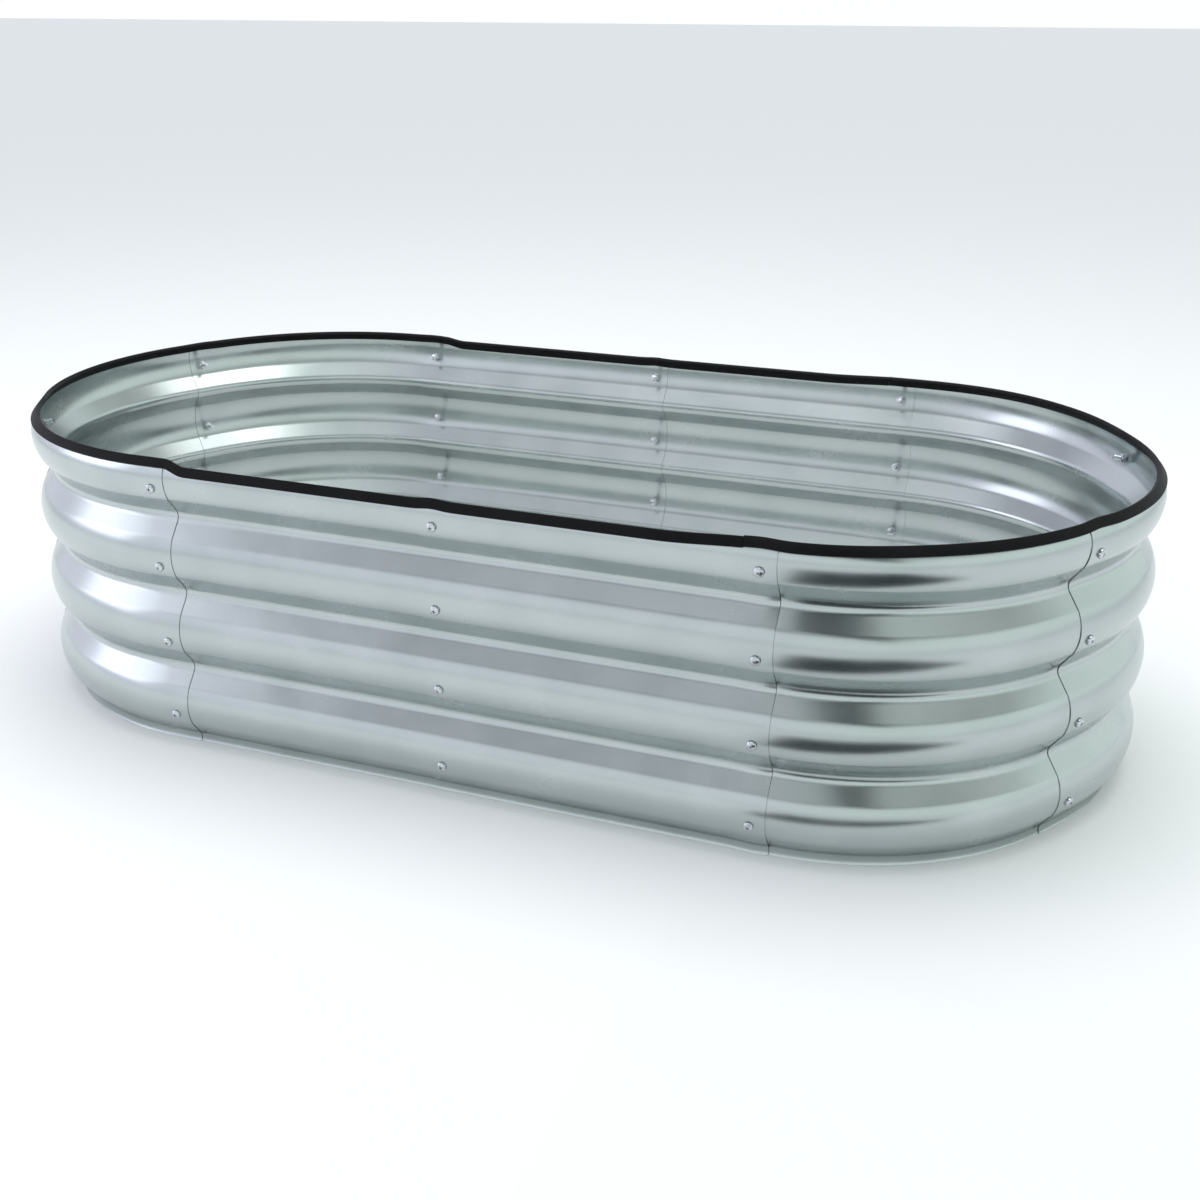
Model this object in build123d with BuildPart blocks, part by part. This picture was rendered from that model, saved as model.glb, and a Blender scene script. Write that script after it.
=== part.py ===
"""Oval corrugated-steel trough body: ten lapped panels, screwed seams and a rubber edge trim.

Millimetres. +X runs along the length, +Y across it to the back, +Z up.
The origin is the middle of the footprint, on the ground under the bottom edge.
"""

from build123d import *
from math import acos, asin, atan2, cos, degrees, hypot, radians, sin, sqrt
import os

os.makedirs("parts", exist_ok=True)

# Plan: two straight sides of two panels each, and half-round ends of three panels each.
straight_pitch = 300.0     # straight panel, screw line to screw line
half_width = 296.0         # middle of the trough to the crest line of a long side
end_turn = 60.0            # degrees that one curved panel turns
lap = 15.0                 # sheet past each screw line, and the flat run a curved panel keeps there

# Corrugated section: wide outward crests, narrow valleys, tangent flanks.
# The sheet stands on a valley and its top edge turns inwards just above the highest crest.
sheet = 0.6
nest_step = 0.7            # one lapped sheet to the next, along their normal
crest_pitch = 79.6
crest_count = 4
wave_depth = 18.0
crest_radius = 42.0
valley_radius = 10.0
lip_radius = 22.0          # the turned-in stretch above the highest crest
first_crest = 44.5         # height of the lowest crest
straight_lip = 11.5        # highest crest to the top edge, straight panels
curved_lip = 16.5          # the same on the curved panels, which stand a little taller
foot_sweep = 60.0          # arc of the lowest valley drawn below its middle, then cut at the ground
lip_sweep = 60.0           # arc of the lip drawn above the highest crest, then cut at the top edge

# Fasteners: M5 x 16 pan-head machine screws, plain washers and hexagon nuts.
screw_drop = 9.0           # screw line below each crest
hole_radius = 2.75
shank_radius = 2.4
shank_length = 16.0
head_radius = 4.75
head_height = 3.2
head_rim = 1.0
recess_length = 5.0
recess_width = 1.1
recess_depth = 1.8
washer_radius = 5.0
washer_bore = 2.65
washer_thickness = 1.0
nut_flats = 8.0
nut_thickness = 4.0
nut_bore = 2.5

# Rubber edge trim: a U-section pushed down over the top edge.
trim_leg = 1.2
trim_web = 1.5
trim_slot = 3.0
trim_cover = 3.8           # legs below the trim's own centre line
trim_seat = 4.6            # slot floor above the same line
trim_centre_drop = 2.5     # that line below the top edge
trim_ramp = 25.0           # length over which the trim drops to a lower edge
trim_gap = 0.3

# Panels counter-clockwise from the front left; level 0 lies innermost, 2 outermost.
panels = [
    ("panel_front_left", "straight", 0),
    ("panel_front_right", "straight", 1),
    ("panel_right_front_corner", "curved", 0),
    ("panel_right_end", "curved", 1),
    ("panel_right_back_corner", "curved", 2),
    ("panel_back_right", "straight", 1),
    ("panel_back_left", "straight", 0),
    ("panel_left_back_corner", "curved", 1),
    ("panel_left_end", "curved", 2),
    ("panel_left_front_corner", "curved", 1),
]
seams = ["front_left", "front_middle", "front_right", "right_front", "right_back",
         "back_right", "back_middle", "back_left", "left_back", "left_front"]

end_radius = half_width - 2 * lap * sin(radians(end_turn))
crest_heights = [first_crest + row * crest_pitch for row in range(crest_count)]
half_pitch = crest_pitch / 2
arc_sum = crest_radius + valley_radius
flank = degrees(atan2(half_pitch, arc_sum - wave_depth)
                - acos(arc_sum / hypot(half_pitch, arc_sum - wave_depth)))
top_edge = {"straight": crest_heights[-1] + straight_lip, "curved": crest_heights[-1] + curved_lip}
up = Vector(0, 0, 1)


def heading(angle):
    """Unit vector along the wall, walking counter-clockwise."""
    return Vector(cos(radians(angle)), sin(radians(angle)), 0)


def outward(angle):
    return Vector(sin(radians(angle)), -cos(radians(angle)), 0)


def section_plane(point, angle):
    """Plane across the wall: local x outward from the crest line, local y up."""
    return Plane(origin=point, x_dir=outward(angle), z_dir=-heading(angle))


def sheet_face(offset):
    """One face of a sheet from bottom to top, offset outward from the middle of level 0."""
    crest_r = crest_radius + offset
    valley_r = valley_radius - offset
    ends = []
    for height in crest_heights:
        sweep = -2 * flank if ends else -flank - foot_sweep
        valley = CenterArc((valley_radius - wave_depth, height - half_pitch), valley_r,
                           180 - flank - sweep, sweep)
        top_turn = 0 if height == crest_heights[-1] else flank
        crest = CenterArc((-crest_radius, height), crest_r, -flank, flank + top_turn)
        if ends:
            Line(last_crest @ 1, valley @ 0)
        else:
            ends.append(valley @ 0)
        Line(valley @ 1, crest @ 0)
        last_crest = crest
    lip = CenterArc((-lip_radius, crest_heights[-1]), lip_radius + offset, 0, lip_sweep)
    ends.append(lip @ 1)
    return ends


def sheet_section(level, top):
    """Closed section of one sheet, cut level at the ground and at its top edge."""
    inner = level * nest_step - sheet / 2
    with BuildLine() as outline:
        inner_ends = sheet_face(inner)
        outer_ends = sheet_face(inner + sheet)
        for near, far in zip(inner_ends, outer_ends):
            Line(near, far)
    make_face(outline.edges())
    with Locations((-half_pitch, 0)):
        Rectangle(crest_pitch, crest_pitch, align=(Align.CENTER, Align.MAX), mode=Mode.SUBTRACT)
    with Locations((-half_pitch, top)):
        Rectangle(crest_pitch, crest_pitch, align=(Align.CENTER, Align.MIN), mode=Mode.SUBTRACT)


def trim_section(top):
    """U-section that leans with the top edge it grips, centred on the middle one of three sheets."""
    reach = top - crest_heights[-1] - trim_centre_drop
    lean = degrees(asin(reach / lip_radius))
    centre = (-lip_radius + lip_radius * cos(radians(lean)), crest_heights[-1] + reach)
    with Locations(Location((centre[0], centre[1], 0), (0, 0, lean))):
        with Locations((nest_step, -trim_cover)):
            Rectangle(trim_slot + 2 * trim_leg, trim_cover + trim_seat + trim_web,
                      align=(Align.CENTER, Align.MIN))
            Rectangle(trim_slot, trim_cover + trim_seat,
                      align=(Align.CENTER, Align.MIN), mode=Mode.SUBTRACT)


def screw_plane(point, angle, height, offset):
    """Plane square to the sheet at a screw, its normal pointing out, offset along it."""
    lean = asin(screw_drop / crest_radius)
    normal = outward(angle) * cos(lean) - up * sin(lean)
    bend_centre = point - outward(angle) * crest_radius + up * height
    return Plane(origin=bend_centre + normal * (crest_radius + offset),
                 x_dir=heading(angle), z_dir=normal)


# Walk round the plan once: each seam is the screw line where a panel starts.
seam_places = []
panel_places = []
place = Vector(-straight_pitch, -half_width, 0)
angle = 0.0
for name, kind, level in panels:
    seam_places.append((place, angle))
    if kind == "straight":
        panel_places.append((place, angle, None))
        place = place + heading(angle) * straight_pitch
    else:
        centre = place + heading(angle) * lap - outward(angle) * end_radius
        panel_places.append((place, angle, centre))
        angle = angle + end_turn
        place = centre + outward(angle) * end_radius + heading(angle) * lap


def seam_holes(seam_number):
    """Clearance holes for the screws of one seam, through whatever sheet is being made."""
    point, direction = seam_places[seam_number % len(seam_places)]
    planes = [screw_plane(point, direction, height, washer_radius) for height in crest_heights]
    with Locations(*planes):
        Hole(hole_radius, depth=2 * washer_radius)


# Panels: each one is a single roll-formed sheet; the curved ones stay flat at their laps.
for number, ((name, kind, level), (start, angle, centre)) in enumerate(zip(panels, panel_places)):
    top = top_edge[kind]
    with BuildPart() as panel:
        with BuildSketch(section_plane(start - heading(angle) * lap, angle)):
            sheet_section(level, top)
        if kind == "straight":
            extrude(amount=-(straight_pitch + 2 * lap))
        else:
            extrude(amount=-2 * lap)
            with BuildSketch(section_plane(start + heading(angle) * lap, angle)):
                sheet_section(level, top)
            revolve(axis=Axis(centre, (0, 0, 1)), revolution_arc=end_turn)
            end_angle = angle + end_turn
            end = centre + outward(end_angle) * end_radius
            with BuildSketch(section_plane(end, end_angle)):
                sheet_section(level, top)
            extrude(amount=-2 * lap)
        seam_holes(number)
        seam_holes(number + 1)
    panel.part.label = name
    export_step(panel.part, f"parts/{name}.step")


# Seams: four screws down each, heads outside, washers and nuts inside.
for number, seam in enumerate(seams):
    point, angle = seam_places[number]
    pair = (panels[number - 1][2], panels[number][2])
    head_seat = max(pair) * nest_step + sheet / 2
    inner_face = min(pair) * nest_step - sheet / 2
    hollow = crest_radius + inner_face
    washer_seat = inner_face - (hollow - sqrt(hollow ** 2 - washer_radius ** 2))
    nut_seat = washer_seat - washer_thickness

    with BuildPart() as screws:
        for height in crest_heights:
            seat = screw_plane(point, angle, height, head_seat)
            with BuildSketch(Plane(origin=seat.origin, x_dir=seat.x_dir, z_dir=-seat.y_dir)):
                with BuildLine():
                    Polyline((0, head_height), (0, -shank_length),
                             (shank_radius - 0.5, -shank_length),
                             (shank_radius, -shank_length + 0.5),
                             (shank_radius, 0), (head_radius, 0), (head_radius, head_rim))
                    ThreePointArc((head_radius, head_rim),
                                  (head_radius * 0.72, head_height - 0.45), (0, head_height))
                make_face()
            revolve(axis=Axis(seat.origin, seat.z_dir))
            with BuildSketch(seat.offset(head_height - recess_depth)):
                Rectangle(recess_length, recess_width)
                Rectangle(recess_width, recess_length)
            extrude(amount=2 * recess_depth, mode=Mode.SUBTRACT)
    screws.part.label = f"screws_{seam}"
    export_step(screws.part, f"parts/{screws.part.label}.step")

    with BuildPart() as washers:
        for height in crest_heights:
            with BuildSketch(screw_plane(point, angle, height, washer_seat)):
                Circle(washer_radius)
                Circle(washer_bore, mode=Mode.SUBTRACT)
            extrude(amount=-washer_thickness)
    washers.part.label = f"washers_{seam}"
    export_step(washers.part, f"parts/{washers.part.label}.step")

    with BuildPart() as nuts:
        for height in crest_heights:
            with BuildSketch(screw_plane(point, angle, height, nut_seat)):
                RegularPolygon(nut_flats / 2, 6, major_radius=False)
                Circle(nut_bore, mode=Mode.SUBTRACT)
            extrude(amount=-nut_thickness)
    nuts.part.label = f"nuts_{seam}"
    export_step(nuts.part, f"parts/{nuts.part.label}.step")


def trim_sketch(point, angle, top):
    with BuildSketch(section_plane(point, angle)) as section:
        trim_section(top)
    return section.sketch


def trim_run(point, angle, length, top):
    """Straight length of edge trim."""
    extrude(trim_sketch(point, angle, top), amount=-length)


def trim_end(first_panel):
    """Trim round one half-round end, from the free edge of its first panel to that of its last."""
    top = top_edge["curved"]
    for number in range(first_panel, first_panel + 3):
        start, angle, centre = panel_places[number]
        trim_run(start - heading(angle) * lap, angle, 2 * lap, top)
        bend = trim_sketch(start + heading(angle) * lap, angle, top)
        revolve(bend, axis=Axis(centre, (0, 0, 1)), revolution_arc=end_turn)
    end_angle = angle + end_turn
    end = centre + outward(end_angle) * end_radius
    trim_run(end, end_angle, 2 * lap, top)


def trim_step(point, angle, first, second):
    """Short ramp of trim from one edge height to another."""
    far_end = point + heading(angle) * trim_ramp
    loft([trim_sketch(point, angle, first), trim_sketch(far_end, angle, second)], ruled=True)


# Edge trim: one strip caps the right end; the other runs along the back, the left end and the front.
with BuildPart() as edge_trim_right:
    trim_end(2)
edge_trim_right.part.label = "edge_trim_right"
export_step(edge_trim_right.part, "parts/edge_trim_right.step")

side_length = 2 * straight_pitch - 2 * lap
back_start, back_angle = seam_places[5]
front_start, front_angle = seam_places[0]
with BuildPart() as edge_trim_left:
    low, high = top_edge["straight"], top_edge["curved"]
    run = side_length - trim_ramp - trim_gap
    back_free = back_start + heading(back_angle) * (lap + trim_gap)
    trim_run(back_free, back_angle, run, low)
    trim_step(back_free + heading(back_angle) * run, back_angle, low, high)
    trim_end(7)
    front_free = front_start + heading(front_angle) * lap
    trim_step(front_free, front_angle, high, low)
    trim_run(front_free + heading(front_angle) * trim_ramp, front_angle, run, low)
edge_trim_left.part.label = "edge_trim_left"
export_step(edge_trim_left.part, "parts/edge_trim_left.step")
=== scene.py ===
import math

import bpy
from mathutils import Matrix, Vector


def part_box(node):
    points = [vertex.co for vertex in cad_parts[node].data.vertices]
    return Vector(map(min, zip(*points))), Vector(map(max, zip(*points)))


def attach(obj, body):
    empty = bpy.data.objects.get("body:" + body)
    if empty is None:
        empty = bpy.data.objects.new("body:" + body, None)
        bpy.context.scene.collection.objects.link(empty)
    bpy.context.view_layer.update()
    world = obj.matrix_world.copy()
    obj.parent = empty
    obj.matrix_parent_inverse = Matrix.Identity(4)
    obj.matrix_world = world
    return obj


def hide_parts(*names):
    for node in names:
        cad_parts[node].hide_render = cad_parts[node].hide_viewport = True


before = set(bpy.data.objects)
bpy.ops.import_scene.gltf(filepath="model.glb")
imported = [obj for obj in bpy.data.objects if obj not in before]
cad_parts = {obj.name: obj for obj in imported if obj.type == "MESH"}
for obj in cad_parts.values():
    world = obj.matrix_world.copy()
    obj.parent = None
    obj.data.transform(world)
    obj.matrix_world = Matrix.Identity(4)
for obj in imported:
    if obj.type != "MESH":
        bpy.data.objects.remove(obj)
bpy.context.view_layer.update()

MM = 0.001

# ---------------------------------------------------------------------------------------------
# Wall panels: ten sheets of 0.6 mm galvanised steel, roll-formed into four wide crests with
# narrow valleys between, the end ones also curved in plan. Each laps the next by 30 mm and is
# held there by the screws.
# ---------------------------------------------------------------------------------------------
lap = 15 * MM
sheet_thickness = 0.6 * MM
nest_step = 0.7 * MM
end_turn = math.radians(60)
crest_pitch = 79.6 * MM
first_crest = 44.5 * MM
crest_radius = 42 * MM
valley_radius = 10 * MM
wave_depth = 18 * MM
lip_radius = 22 * MM
lips = {"straight": 11.5 * MM, "curved": 16.5 * MM}
half_pitch = crest_pitch / 2
crest_heights = [first_crest + row * crest_pitch for row in range(4)]
arc_sum = crest_radius + valley_radius
flank = (math.atan2(half_pitch, arc_sum - wave_depth)
         - math.acos(arc_sum / math.hypot(half_pitch, arc_sum - wave_depth)))
crease = math.radians(28)        # the crest's arc ends in a crease, and a flat flank follows
valley_steps = 10
crest_steps = 14
lip_steps = 6
lap_steps = 3
straight_steps = 12
bend_steps = 20

front_low, front_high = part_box("panel_front_left")
straight_pitch = front_high[0] - front_low[0] - 2 * lap
half_width = -front_low[1] - sheet_thickness / 2
end_radius = half_width - 2 * lap * math.sin(end_turn)
UP = Vector((0, 0, 1))

panels = [
    ("panel_front_left", "straight", 0),
    ("panel_front_right", "straight", 1),
    ("panel_right_front_corner", "curved", 0),
    ("panel_right_end", "curved", 1),
    ("panel_right_back_corner", "curved", 2),
    ("panel_back_right", "straight", 1),
    ("panel_back_left", "straight", 0),
    ("panel_left_back_corner", "curved", 1),
    ("panel_left_end", "curved", 2),
    ("panel_left_front_corner", "curved", 1),
]


def heading(angle):
    """Unit vector along the wall, walking counter-clockwise."""
    return Vector((math.cos(angle), math.sin(angle), 0))


def outward(angle):
    return Vector((math.sin(angle), -math.cos(angle), 0))


panel_places = []
place = Vector((-straight_pitch, -half_width, 0))
angle = 0.0
for name, kind, level in panels:
    if kind == "straight":
        panel_places.append((place, angle, None))
        place = place + heading(angle) * straight_pitch
    else:
        centre = place + heading(angle) * lap - outward(angle) * end_radius
        panel_places.append((place, angle, centre))
        angle += end_turn
        place = centre + outward(angle) * end_radius + heading(angle) * lap


def start_point(name, position):
    """A new mesh of one selected vertex, in edit mode."""
    bpy.ops.object.select_all(action="DESELECT")
    bpy.ops.mesh.primitive_plane_add(size=10 * MM, location=position)
    made = bpy.context.object
    made.name = name
    made.data.name = name
    bpy.ops.object.mode_set(mode="EDIT")
    bpy.ops.mesh.select_mode(type="VERT")
    bpy.ops.mesh.merge(type="CENTER")
    return made


def draw_on(step):
    bpy.ops.mesh.extrude_region_move(TRANSFORM_OT_translate={"value": step})


def draw_flank(step):
    """A flank is nearly flat, and short steps at its ends keep the creases beside it crisp."""
    for share in (0.08, 0.84, 0.08):
        draw_on(step * share)


def swing(turn, centre, axis, steps):
    """Draw round a centre, right-handed about the axis; the operator's own angle is reversed."""
    bpy.ops.mesh.spin(steps=steps, angle=-turn, center=centre, axis=axis)


def select_where(thing, chosen):
    """Select the vertices whose place passes the test, leaving edit mode switched on."""
    bpy.ops.mesh.select_all(action="DESELECT")
    bpy.ops.object.mode_set(mode="OBJECT")
    for vertex in thing.data.vertices:
        vertex.select = chosen(vertex.co)
    bpy.ops.object.mode_set(mode="EDIT")


def draw_section(name, start, angle, level, top):
    """The sheet's corrugated outline as a line of edges, from the ground to the top edge."""
    out = outward(angle)
    along = heading(angle)
    offset = level * nest_step
    valley_r = valley_radius - offset
    crest_r = crest_radius + offset
    foot_turn = math.asin((half_pitch - first_crest) / -valley_r)
    foot = start + out * (valley_radius - wave_depth - valley_r * math.cos(foot_turn))
    line = start_point(name, foot)
    for height in crest_heights:
        valley = start + out * (valley_radius - wave_depth) + UP * (height - half_pitch)
        crest = start - out * crest_radius + UP * height
        last = height == crest_heights[-1]
        turn = flank + foot_turn if height == crest_heights[0] else 2 * flank
        swing(turn, valley, along, valley_steps)
        reached = valley + (UP * math.sin(flank) - out * math.cos(flank)) * valley_r
        waiting = crest + (out * math.cos(crease) - UP * math.sin(crease)) * crest_r
        draw_flank(waiting - reached)
        if last:
            swing(-crease, crest, along, crest_steps // 2)
        else:
            swing(-2 * crease, crest, along, crest_steps)
            left = crest + (out * math.cos(crease) + UP * math.sin(crease)) * crest_r
            following = valley + UP * crest_pitch
            draw_flank(following - (out * math.cos(flank) + UP * math.sin(flank)) * valley_r - left)
    lip_centre = start - out * lip_radius + UP * crest_heights[-1]
    swing(-math.asin(top / (lip_radius + offset)), lip_centre, along, lip_steps)
    return line


def spring_edge(thing, edge, along, out, reach):
    """Meant to bend an outer sheet's free edge away, most in the valleys and at the ground.

    Known fault: edge is a place in the scene, but the sheet's points are still in its own space
    here. Of all seams only front_right opens, 15 mm in from its edge. The covered end of
    panel_back_right and the middle of both end sheets bend instead.
    """
    edge_depth = 1 * MM
    row_height = 9 * MM
    spread = 24 * MM
    rows = [(height - half_pitch, reach) for height in crest_heights]
    rows[0] = (0, 1.5 * reach)
    rows += [(height + 0.3 * crest_pitch, 0.35 * reach) for height in crest_heights[:-1]]
    bpy.context.tool_settings.use_proportional_edit_objects = False
    for row, (height, shift) in enumerate(rows):
        select_where(thing, lambda co: abs((co - edge).dot(along)) < edge_depth
                     and abs(co.z - height) < row_height)
        uneven = 1 + 0.3 * math.sin(2.7 * row + 40 * edge.x)
        bpy.ops.transform.translate(value=out * shift * uneven, use_proportional_edit=True,
                                    proportional_edit_falloff="SMOOTH",
                                    proportional_size=spread, use_proportional_connected=True)


panel_pieces = {}
# How far each seam's free edge should stand off, counter-clockwise from the front left.
slack = [4.2 * MM, 1.0 * MM, 1.2 * MM, 1.6 * MM, 1.4 * MM,
         1.2 * MM, 1.0 * MM, 1.2 * MM, 1.4 * MM, 1.6 * MM]
for number, ((name, kind, level), (start, angle, centre)) in enumerate(zip(panels, panel_places)):
    along, out = heading(angle), outward(angle)
    sheet = draw_section("sheet_" + name, start - along * lap, angle, level, lips[kind])
    bpy.ops.mesh.select_all(action="SELECT")
    for _ in range(lap_steps):
        draw_on(along * lap / lap_steps)
    if kind == "straight":
        for _ in range(straight_steps):
            draw_on(along * straight_pitch / straight_steps)
        end_angle = angle
        end = start + along * straight_pitch
    else:
        for _ in range(lap_steps):
            draw_on(along * lap / lap_steps)
        swing(end_turn, centre, UP, bend_steps)
        end_angle = angle + end_turn
        end = centre + outward(end_angle) * end_radius + heading(end_angle) * lap
        for _ in range(lap_steps):
            draw_on(heading(end_angle) * lap / lap_steps)
    for _ in range(lap_steps):
        draw_on(heading(end_angle) * lap / lap_steps)
    before = panels[number - 1][2]
    after = panels[(number + 1) % len(panels)][2]
    if level > before:
        spring_edge(sheet, start - along * lap, along, out, slack[number])
    if level > after:
        far = heading(end_angle)
        reach = slack[(number + 1) % len(slack)]
        spring_edge(sheet, end + far * lap, far, outward(end_angle), reach)
    bpy.ops.mesh.select_all(action="SELECT")
    bpy.ops.mesh.remove_doubles(threshold=0.02 * MM)
    bpy.ops.mesh.normals_make_consistent(inside=False)
    bpy.ops.object.mode_set(mode="OBJECT")
    gauge = sheet.modifiers.new("gauge", "SOLIDIFY")
    gauge.thickness = sheet_thickness
    gauge.offset = 0
    gauge.use_even_offset = True
    bpy.ops.object.modifier_apply(modifier="gauge")
    bpy.ops.object.transform_apply(location=True, rotation=True, scale=True)
    bpy.ops.object.shade_smooth_by_angle(angle=math.radians(35))
    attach(sheet, "root")
    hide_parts(name)
    panel_pieces[name] = sheet


def linear(text):
    """An sRGB hex colour as the linear colour that a shader takes."""
    parts = [int(text[place:place + 2], 16) / 255 for place in (1, 3, 5)]
    return [part / 12.92 if part <= 0.04045 else ((part + 0.055) / 1.055) ** 2.4
            for part in parts] + [1]


def add_node(material, kind, settings=None, **inputs):
    """Add a shader node; an input is a value or another node's (node, output) pair."""
    made = material.node_tree.nodes.new(kind)
    for key, value in (settings or {}).items():
        setattr(made, key, value)
    for key, value in inputs.items():
        socket = made.inputs[int(key[1:])] if key[0] == "i" and key[1:].isdigit() \
            else made.inputs[key.replace("_", " ")]
        if isinstance(value, tuple) and hasattr(value[0], "outputs"):
            material.node_tree.links.new(value[0].outputs[value[1]], socket)
        else:
            socket.default_value = value
    return made


def new_material(name):
    material = bpy.data.materials.new(name)
    material.use_nodes = True
    return material, material.node_tree.nodes["Principled BSDF"]


def give(thing, material):
    thing.data.materials.clear()
    thing.data.materials.append(material)


def ramp(material, factor, stops):
    made = add_node(material, "ShaderNodeValToRGB", Fac=factor)
    made.color_ramp.elements[0].position, made.color_ramp.elements[0].color = stops[0]
    made.color_ramp.elements[1].position, made.color_ramp.elements[1].color = stops[1]
    return made


def galvanised_sheet(name, tint_low, tint_high, roughness):
    """Satin zinc coating: soft cloudy spangle, faint rolling lines, and painted shade that darkens
    its laps and valleys.
    """
    material, surface = new_material(name)
    place = add_node(material, "ShaderNodeTexCoord")
    lines_at = add_node(material, "ShaderNodeMapping", Vector=(place, "Object"), Scale=(3, 3, 220))
    lines = add_node(material, "ShaderNodeTexNoise", Vector=(lines_at, 0), Scale=1.0, Detail=1.0)
    clouds = add_node(material, "ShaderNodeTexNoise", Vector=(place, "Object"),
                      Scale=1 / (60 * MM), Detail=1.5)
    spangle = add_node(material, "ShaderNodeTexNoise", Vector=(place, "Object"),
                       Scale=1 / (12 * MM), Detail=1.0)
    mottled = add_node(material, "ShaderNodeMix", {"data_type": "FLOAT"},
                       i0=0.15, i2=(clouds, 0), i3=(spangle, 0))
    tints = ramp(material, (mottled, 0), [(0.25, linear(tint_low)), (0.75, linear(tint_high))])
    # Painted shade: ambient occlusion darkens the colour towards #14191a where shade falls, in the
    # laps, the gaps at the seams and the valleys.
    painted_crevice_shade = add_node(material, "ShaderNodeAmbientOcclusion", {"samples": 12}, Distance=7 * MM)
    painted_shade_mask = add_node(material, "ShaderNodeMapRange", {"interpolation_type": "SMOOTHSTEP"},
                     Value=(painted_crevice_shade, "AO"), From_Min=0.2, From_Max=0.65)
    tints_with_painted_shade = add_node(material, "ShaderNodeMix", {"data_type": "RGBA"}, i0=(painted_shade_mask, 0),
                      i6=linear("#14191a"), i7=(tints, 0))
    material.node_tree.links.new(tints_with_painted_shade.outputs[2], surface.inputs["Base Color"])
    gloss = add_node(material, "ShaderNodeMapRange", Value=(mottled, 0), From_Min=0.25,
                     From_Max=0.75, To_Min=roughness - 0.03, To_Max=roughness + 0.04)
    material.node_tree.links.new(gloss.outputs[0], surface.inputs["Roughness"])
    relief = add_node(material, "ShaderNodeBump", Height=(lines, 0), Strength=0.03,
                      Distance=0.02 * MM)
    material.node_tree.links.new(relief.outputs[0], surface.inputs["Normal"])
    surface.inputs["Metallic"].default_value = 1
    return material


steel = galvanised_sheet("galvanised_steel_satin", "#b3bcbb", "#bfc6c6", 0.25)
for sheet in panel_pieces.values():
    give(sheet, steel)

# ---------------------------------------------------------------------------------------------
# Screws: M5 x 16 pan-head machine screws, zinc-plated, with a cross recess; four down each seam,
# heads outside, driven square to the sheet a little below each crest.
# ---------------------------------------------------------------------------------------------
screw_drop = 9 * MM
head_radius = 4.75 * MM
head_height = 3.2 * MM
head_rim = 1.0 * MM
thread_radius = 2.45 * MM
root_radius = 2.0 * MM
thread_pitch = 0.8 * MM
shank_length = 16 * MM
recess_length = 5.0 * MM
recess_width = 1.1 * MM
recess_depth = 1.8 * MM
recess_taper = 0.55
seams = ["front_left", "front_middle", "front_right", "right_front", "right_back",
         "back_right", "back_middle", "back_left", "left_back", "left_front"]


def lathe(name, outline, steps):
    """Turn an outline of (radius, height) points round the upright axis into a closed solid."""
    first = Vector((outline[0][0], 0, outline[0][1]))
    turned = start_point(name, first)
    for near, far in zip(outline, outline[1:]):
        draw_on((far[0] - near[0], 0, far[1] - near[1]))
    bpy.ops.mesh.select_all(action="SELECT")
    bpy.ops.mesh.spin(steps=steps, angle=2 * math.pi, center=(0, 0, 0), axis=UP)
    bpy.ops.mesh.select_all(action="SELECT")
    bpy.ops.mesh.remove_doubles(threshold=0.01 * MM)
    bpy.ops.mesh.normals_make_consistent(inside=False)
    bpy.ops.object.mode_set(mode="OBJECT")
    bpy.ops.object.transform_apply(location=True, rotation=True, scale=True)
    return turned


def carve(thing, tool, operation):
    cut = thing.modifiers.new("cut", "BOOLEAN")
    cut.operation = operation
    cut.solver = "EXACT"
    cut.object = tool
    bpy.ops.object.select_all(action="DESELECT")
    bpy.context.view_layer.objects.active = thing
    thing.select_set(True)
    bpy.ops.object.modifier_apply(modifier="cut")
    bpy.data.objects.remove(tool)


pan = [(0, head_height)]
pan_steps = 6
squareness = 0.8
for step in range(1, pan_steps + 1):
    slope = math.radians(90 * step / pan_steps)
    pan.append((head_radius * math.sin(slope) ** squareness,
                head_rim + (head_height - head_rim) * math.cos(slope) ** squareness))
head_bevel = 0.15 * MM
outline = pan + [(head_radius, head_bevel), (head_radius - head_bevel, 0), (thread_radius, 0)]
thread_start = 0.4 * MM
plain_length = 1.2 * MM
turns = int((shank_length - plain_length) / thread_pitch)
for turn in range(turns):
    depth = -thread_start - turn * thread_pitch
    outline += [(thread_radius, depth), (root_radius, depth - thread_pitch / 2)]
outline += [(root_radius, -shank_length), (0, -shank_length)]
master_screw = lathe("master_screw", outline, 20)
for turn in (0, 90):
    bpy.ops.object.select_all(action="DESELECT")
    bpy.ops.mesh.primitive_cube_add(size=1, location=(0, 0, head_height))
    blade = bpy.context.object
    blade.scale = (recess_length, recess_width, 2 * recess_depth)
    blade.rotation_euler = (0, 0, math.radians(turn))
    bpy.ops.object.transform_apply(location=True, rotation=True, scale=True)
    bpy.ops.object.mode_set(mode="EDIT")
    select_where(blade, lambda co: co.z < head_height)
    bpy.ops.transform.resize(value=(recess_taper, recess_taper, 1))
    bpy.ops.object.mode_set(mode="OBJECT")
    carve(master_screw, blade, "DIFFERENCE")


def seam_frame(number, height, offset):
    """Place of a fastener: its own upright axis along the sheet's normal at the screw line."""
    point, angle, _ = panel_places[number]
    lean = math.asin(screw_drop / crest_radius)
    normal = outward(angle) * math.cos(lean) - UP * math.sin(lean)
    across = heading(angle)
    other = normal.cross(across)
    spot = point - outward(angle) * crest_radius + UP * height + normal * (crest_radius + offset)
    turned = Matrix((across, other, normal)).transposed().to_4x4()
    return Matrix.Translation(spot) @ turned


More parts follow.
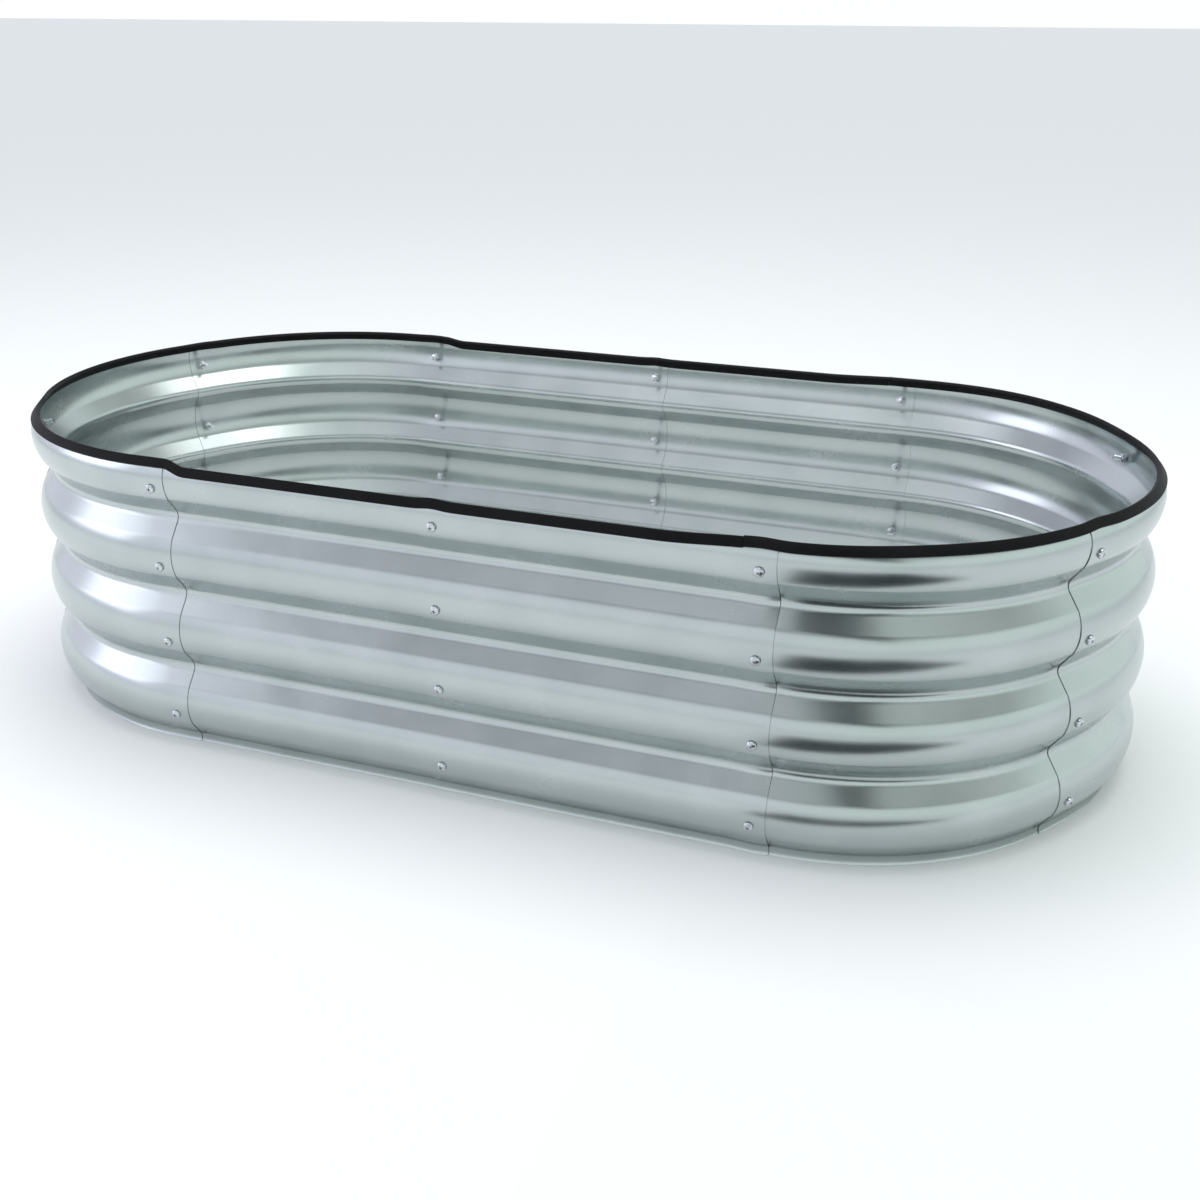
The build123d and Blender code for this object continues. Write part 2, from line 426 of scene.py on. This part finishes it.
def place_fasteners(master, prefix, number, offset, turns):
    """Four copies of one fastener down a seam, joined as one piece that stands for its node."""
    bpy.ops.object.select_all(action="DESELECT")
    copies = []
    for row, height in enumerate(crest_heights):
        copy = master.copy()
        copy.data = master.data.copy()
        bpy.context.collection.objects.link(copy)
        copy.data.transform(seam_frame(number, height, offset)
                            @ Matrix.Rotation(turns * (3 * number + 5 * row), 4, "Z"))
        copy.select_set(True)
        copies.append(copy)
    bpy.context.view_layer.objects.active = copies[0]
    bpy.ops.object.join()
    joined = bpy.context.object
    joined.name = f"{prefix}_set_{seams[number]}"
    joined.data.name = joined.name
    bpy.ops.object.shade_smooth_by_angle(angle=math.radians(30))
    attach(joined, "root")
    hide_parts(f"{prefix}_{seams[number]}")
    return joined


fasteners = []
screw_turn = 0.7
levels = [level for _, _, level in panels]
for number in range(len(seams)):
    outer_level = max(levels[number - 1], levels[number])
    seat = outer_level * nest_step + sheet_thickness / 2
    fasteners.append(place_fasteners(master_screw, "screws", number, seat, screw_turn))
bpy.data.objects.remove(master_screw)

# ---------------------------------------------------------------------------------------------
# Nuts: M5 hexagon nuts of zinc-plated steel, forged and chamfered at both faces; each is run up
# on a screw's end inside the wall and tightened on a plain washer.
# ---------------------------------------------------------------------------------------------
nut_flats = 8 * MM
nut_thickness = 4 * MM
nut_corner = nut_flats / math.sqrt(3)
chamfer = 0.55 * MM
spare = 0.1 * MM
bore_radius = 2.5 * MM
nut_turn = 0.4
bpy.ops.object.select_all(action="DESELECT")
bpy.ops.mesh.primitive_cylinder_add(vertices=6, radius=nut_corner, depth=nut_thickness,
                                    location=(0, 0, -nut_thickness / 2))
master_nut = bpy.context.object
bpy.ops.object.transform_apply(location=True, rotation=True, scale=True)
barrel = lathe("barrel", [(0, spare),
                          (nut_corner - 2 * chamfer, spare),
                          (nut_corner + spare, -chamfer),
                          (nut_corner + spare, chamfer - nut_thickness),
                          (nut_corner - 2 * chamfer, -nut_thickness - spare),
                          (0, -nut_thickness - spare)], 24)
carve(master_nut, barrel, "INTERSECT")
bpy.ops.object.select_all(action="DESELECT")
bpy.ops.mesh.primitive_cylinder_add(vertices=20, radius=bore_radius, depth=3 * nut_thickness)
carve(master_nut, bpy.context.object, "DIFFERENCE")

washer_radius = 5 * MM
washer_thickness = 1 * MM
for number in range(len(seams)):
    inner = min(levels[number - 1], levels[number]) * nest_step - sheet_thickness / 2
    hollow = crest_radius + inner
    washer_seat = inner - (hollow - math.sqrt(hollow ** 2 - washer_radius ** 2))
    nut_seat = washer_seat - washer_thickness
    fasteners.append(place_fasteners(master_nut, "nuts", number, nut_seat, nut_turn))
bpy.data.objects.remove(master_nut)


def zinc_plate(name):
    """Bright electro-plated zinc: cool, fairly shiny, slightly hazed by its passivation."""
    material, surface = new_material(name)
    place = add_node(material, "ShaderNodeTexCoord")
    haze = add_node(material, "ShaderNodeTexNoise", Vector=(place, "Object"),
                    Scale=1 / (2 * MM), Detail=3.0)
    tints = ramp(material, (haze, 0), [(0.3, linear("#b4bac0")), (0.7, linear("#dde0e3"))])
    material.node_tree.links.new(tints.outputs[0], surface.inputs["Base Color"])
    gloss = add_node(material, "ShaderNodeMapRange", Value=(haze, 0), To_Min=0.16, To_Max=0.30)
    material.node_tree.links.new(gloss.outputs[0], surface.inputs["Roughness"])
    surface.inputs["Metallic"].default_value = 1
    return material


zinc = zinc_plate("bright_zinc_plate")
for piece in fasteners:
    give(piece, zinc)

# ---------------------------------------------------------------------------------------------
# Washers: plain M5 washers stamped from zinc-plated steel, one under each nut. The frame's own
# rings have the right shape already, so they only get the material.
# ---------------------------------------------------------------------------------------------
for seam in seams:
    give(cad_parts["washers_" + seam], zinc)

# ---------------------------------------------------------------------------------------------
# Edge trim: extruded black EPDM U-channel pushed down over the cut top edges, in two strips that
# butt together. It rises over the taller curved sheets and bumps a little where sheets lap.
# ---------------------------------------------------------------------------------------------
trim_leg = 1.2 * MM
trim_web = 1.5 * MM
trim_slot = 3.0 * MM
trim_cover = 3.8 * MM
trim_seat = 4.6 * MM
trim_centre_drop = 2.5 * MM
trim_ramp = 25 * MM
trim_gap = 0.3 * MM
crown = 1.3 * MM
toe = 0.4 * MM
lap_bump = 0.8 * MM
middle_bump = 1.2 * MM
spacing = 10 * MM
bend_stations = 30
lap_stations = 8
side_stations = 110


def corner(x, y, radius, first, last):
    return [(x + radius * math.cos(math.radians(turn)), y + radius * math.sin(math.radians(turn)))
            for turn in range(first, last + 1, 30 if last > first else -30)]


def rim_point(start, along, out, distance, lip):
    """Trim centre line over an edge that stands lip above the top crest, and its lean."""
    reach = lip - trim_centre_drop
    lean = math.asin(reach / lip_radius)
    inset = lip_radius * (1 - math.cos(lean))
    spot = start + along * distance + UP * (crest_heights[-1] + reach)
    shift = nest_step * math.cos(lean)
    return spot + out * (shift - inset) + UP * nest_step * math.sin(lean), lean


def straight_run(start, angle, first, last, lip_at, count):
    along, out = heading(angle), outward(angle)
    return [rim_point(start, along, out, first + (last - first) * step / count,
                      lip_at((first + (last - first) * step / count)))
            for step in range(count + 1)]


def bend_run(centre, angle, lip_at, count):
    run = []
    for step in range(1, count):
        turned = angle + end_turn * step / count
        base = centre + outward(turned) * end_radius
        run.append(rim_point(base, heading(turned), outward(turned), 0, lip_at(step / count)))
    return run


def smooth(value):
    value = min(max(value, 0), 1)
    return value * value * (3 - 2 * value)


def end_strip(first_panel, first_sink, last_sink):
    """Route round a half-round end; its two tips may be pushed down a little further."""
    route = []
    for number in range(first_panel, first_panel + 3):
        start, angle, centre = panel_places[number]
        sink = first_sink if number == first_panel else 0
        route += straight_run(start, angle, -lap, lap, lambda at: lips["curved"] - sink
                              + lap_bump * math.exp(-(at / lap) ** 2), lap_stations)
        settle = (lambda part: lips["curved"] - sink * (1 - smooth(part * 2))
                  - (last_sink * smooth(part * 2 - 1) if number == first_panel + 2 else 0))
        route += bend_run(centre, angle, settle, bend_stations)
    end_angle = angle + end_turn
    end = centre + outward(end_angle) * end_radius + heading(end_angle) * lap
    route += straight_run(end, end_angle, -lap, lap, lambda at: lips["curved"] - last_sink,
                          lap_stations)
    return route


def trim_strip(name, route, node):
    """Sweep the rounded U-section along a route, leaning with the edge, and close its ends."""
    half = trim_slot / 2 + trim_leg
    top = trim_seat + trim_web
    slot = trim_slot / 2
    shape = (corner(half - crown, top - crown, crown, 0, 90)
             + corner(-half + crown, top - crown, crown, 90, 180)
             + corner(-half + toe, -trim_cover + toe, toe, 180, 270)
             + corner(-slot - toe, -trim_cover + toe, toe, 270, 360)
             + [(-slot, trim_seat), (slot, trim_seat)]
             + corner(slot + toe, -trim_cover + toe, toe, 180, 270)
             + corner(half - toe, -trim_cover + toe, toe, 270, 360))
    spots = [spot for spot, _ in route]
    strip = start_point(name, (0, 0, 0))
    bpy.ops.mesh.select_all(action="SELECT")
    for near, far in zip([(0, 0)] + shape, shape):
        draw_on((far[0] - near[0], 0, far[1] - near[1]))
    bpy.ops.object.mode_set(mode="OBJECT")
    bpy.ops.object.transform_apply(location=True, rotation=True, scale=True)
    bpy.ops.object.mode_set(mode="EDIT")
    select_where(strip, lambda co: co.length < 0.01 * MM)
    bpy.ops.mesh.delete(type="VERT")
    bpy.ops.mesh.select_all(action="SELECT")
    bpy.ops.mesh.edge_face_add()
    bpy.ops.object.mode_set(mode="OBJECT")
    bpy.ops.object.mode_set(mode="EDIT")
    bpy.ops.mesh.select_all(action="SELECT")
    for step in range(len(route) - 1):
        bpy.ops.mesh.extrude_region_move(TRANSFORM_OT_translate={"value": (0, spacing, 0)})
    bpy.ops.mesh.select_all(action="SELECT")
    bpy.ops.mesh.normals_make_consistent(inside=False)
    bpy.ops.object.mode_set(mode="OBJECT")
    for vertex in strip.data.vertices:
        station = min(round(vertex.co.y / spacing), len(route) - 1)
        spot, lean = route[station]
        ahead = spots[min(station + 1, len(spots) - 1)] - spots[max(station - 1, 0)]
        ahead.z = 0
        ahead.normalize()
        side = Vector((ahead.y, -ahead.x, 0))
        local_x = side * math.cos(lean) + UP * math.sin(lean)
        local_z = UP * math.cos(lean) - side * math.sin(lean)
        vertex.co = spot + local_x * vertex.co.x + local_z * vertex.co.z
    bpy.ops.object.mode_set(mode="EDIT")
    bpy.ops.mesh.select_all(action="SELECT")
    bpy.ops.mesh.normals_make_consistent(inside=False)
    bpy.ops.object.mode_set(mode="OBJECT")
    bpy.ops.object.shade_smooth_by_angle(angle=math.radians(40))
    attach(strip, "root")
    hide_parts(node)
    return strip


trim_sink = 1.9 * MM
trim_lift = 3.0 * MM
right_strip = trim_strip("rubber_trim_right", end_strip(2, trim_sink, trim_sink), "edge_trim_right")
side = 2 * straight_pitch
drop = lips["curved"] - lips["straight"]


def side_lip(at, near_at_start, near_at_end):
    """Edge height along a long side: high beside the curved sheets, bumped at the middle seam."""
    lift = 0
    if near_at_start:
        lift = 1 - smooth((at - lap) / trim_ramp)
    if near_at_end:
        lift = smooth((at - (side - lap - trim_ramp)) / trim_ramp)
    middle = middle_bump * math.exp(-((at - straight_pitch) / (0.8 * lap)) ** 2)
    free_end = 0 if near_at_start else smooth(1 - at / (6 * lap))
    if not near_at_end:
        free_end = smooth(1 - (side - at) / (6 * lap))
    return lips["straight"] + drop * lift + middle + trim_lift * free_end


back_start, back_angle, _ = panel_places[5]
front_start, front_angle, _ = panel_places[0]
route = straight_run(back_start, back_angle, lap + trim_gap, side - lap,
                     lambda at: side_lip(at, False, True), side_stations)
route += end_strip(7, 0, 0)[1:]
route += straight_run(front_start, front_angle, lap, side - lap - trim_gap,
                      lambda at: side_lip(at, True, False), side_stations)[1:]
left_strip = trim_strip("rubber_trim_left", route, "edge_trim_left")


def epdm_rubber(name):
    """Matt black extruded rubber: faint bloom that greys it in patches, and a fine die grain."""
    material, surface = new_material(name)
    place = add_node(material, "ShaderNodeTexCoord")
    bloom = add_node(material, "ShaderNodeTexNoise", Vector=(place, "Object"),
                     Scale=1 / (40 * MM), Detail=5.0)
    tints = ramp(material, (bloom, 0), [(0.35, linear("#060708")), (0.7, linear("#101012"))])
    material.node_tree.links.new(tints.outputs[0], surface.inputs["Base Color"])
    gloss = add_node(material, "ShaderNodeMapRange", Value=(bloom, 0), To_Min=0.46, To_Max=0.62)
    material.node_tree.links.new(gloss.outputs[0], surface.inputs["Roughness"])
    grain = add_node(material, "ShaderNodeTexNoise", Vector=(place, "Object"),
                     Scale=1 / (0.6 * MM), Detail=2.0)
    relief = add_node(material, "ShaderNodeBump", Height=(grain, 0), Strength=0.25,
                      Distance=0.05 * MM)
    material.node_tree.links.new(relief.outputs[0], surface.inputs["Normal"])
    surface.inputs["Specular IOR Level"].default_value = 0.12
    return material


rubber = epdm_rubber("black_epdm_rubber")
give(right_strip, rubber)
give(left_strip, rubber)

# ---------------------------------------------------------------------------------------------
# Studio: a wide white floor, a white surround and two soft boxes. Two dark flags, one standing
# and one lying in front of the right front corner, give its crests their dark bands.
# ---------------------------------------------------------------------------------------------
bpy.ops.object.select_all(action="DESELECT")
bpy.ops.mesh.primitive_plane_add(size=60, location=(0, 0, 0))
floor = bpy.context.object
floor.name = "studio_floor"
floor_paint, floor_surface = new_material("white_studio_floor")
floor_surface.inputs["Base Color"].default_value = linear("#f4f4f4")
floor_surface.inputs["Roughness"].default_value = 0.9
give(floor, floor_paint)

world = bpy.data.worlds.new("studio_surround")
bpy.context.scene.world = world
world.use_nodes = True
links = world.node_tree.links
backdrop = world.node_tree.nodes["Background"]
direction = add_node(world, "ShaderNodeTexCoord")
height = add_node(world, "ShaderNodeSeparateXYZ", Vector=(direction, "Generated"))
tiers = add_node(world, "ShaderNodeValToRGB", Fac=(height, "Z"))
grey_by_height = ((0.0, 1.0), (0.42, 1.0), (0.56, 0.50), (0.68, 0.50), (0.80, 0.85), (1.0, 0.9))
for position, grey in grey_by_height:
    spot = tiers.color_ramp.elements.new(position)
    spot.color = (grey, grey, grey, 1)
tiers.color_ramp.elements.remove(tiers.color_ramp.elements[0])
tiers.color_ramp.elements.remove(tiers.color_ramp.elements[-1])
sideways = add_node(world, "ShaderNodeMapRange", Value=(height, "X"), From_Min=-0.8, From_Max=0.3)
tint = add_node(world, "ShaderNodeMix", {"data_type": "RGBA"}, i0=(sideways, 0),
                i6=linear("#f1f0ff"), i7=linear("#eef8f5"))
lit = add_node(world, "ShaderNodeMix", {"data_type": "RGBA", "blend_type": "MULTIPLY"}, i0=1.0,
               i6=(tint, 2), i7=(tiers, 0))
links.new(lit.outputs[2], backdrop.inputs["Color"])
backdrop.inputs["Strength"].default_value = 1.15


def soft_box(name, position, aim, width, height, power, colour):
    lamp = bpy.data.lights.new(name, "AREA")
    lamp.shape = "RECTANGLE"
    lamp.size = width
    lamp.size_y = height
    lamp.energy = power
    lamp.color = linear(colour)[:3]
    stand = bpy.data.objects.new(name, lamp)
    bpy.context.collection.objects.link(stand)
    stand.location = position
    stand.rotation_euler = (Vector(aim) - Vector(position)).to_track_quat("-Z", "Y").to_euler()
    return stand


flag_cloth, cloth_surface = new_material("black_flag_cloth")
cloth_surface.inputs["Base Color"].default_value = linear("#20282a")
cloth_surface.inputs["Roughness"].default_value = 1.0


def flag_card(name, position, tilt, turn, width, depth):
    """A dark card that shows only as a reflection, as a studio flag out of frame does."""
    bpy.ops.mesh.primitive_plane_add(size=1, location=position, rotation=(tilt, 0, turn))
    card = bpy.context.object
    card.name = name
    card.scale = (width, depth, 1)
    card.visible_camera = False
    card.visible_diffuse = False
    card.visible_shadow = False
    give(card, flag_cloth)


flag_card("upper_flag", (0.58, -0.76, 0.80), math.radians(90), math.radians(-40), 0.80, 0.60)
flag_card("floor_flag", (0.52, -0.62, 0.003), 0, 0, 0.50, 0.44)

soft_box("overhead_box", (0, 0.3, 2.6), (0, 0, 0), 2.6, 1.6, 30, "#ffffff")
soft_box("left_box", (-2.4, -1.2, 1.2), (-0.3, 0, 0.1), 1.6, 1.6, 12, "#f3f2ff")

lens_camera = bpy.data.cameras.new("studio_camera")
camera = bpy.data.objects.new("studio_camera", lens_camera)
bpy.context.collection.objects.link(camera)
lens_camera.sensor_width = 36
lens_camera.lens = 45.435
camera_tilt = 0.385
camera_turn = 0.377
camera.location = (0.6046, -1.4179, 0.7172)
camera.rotation_euler = (math.pi / 2 - camera_tilt, 0, camera_turn)
bpy.context.scene.camera = camera
bpy.context.scene.view_settings.view_transform = "Standard"
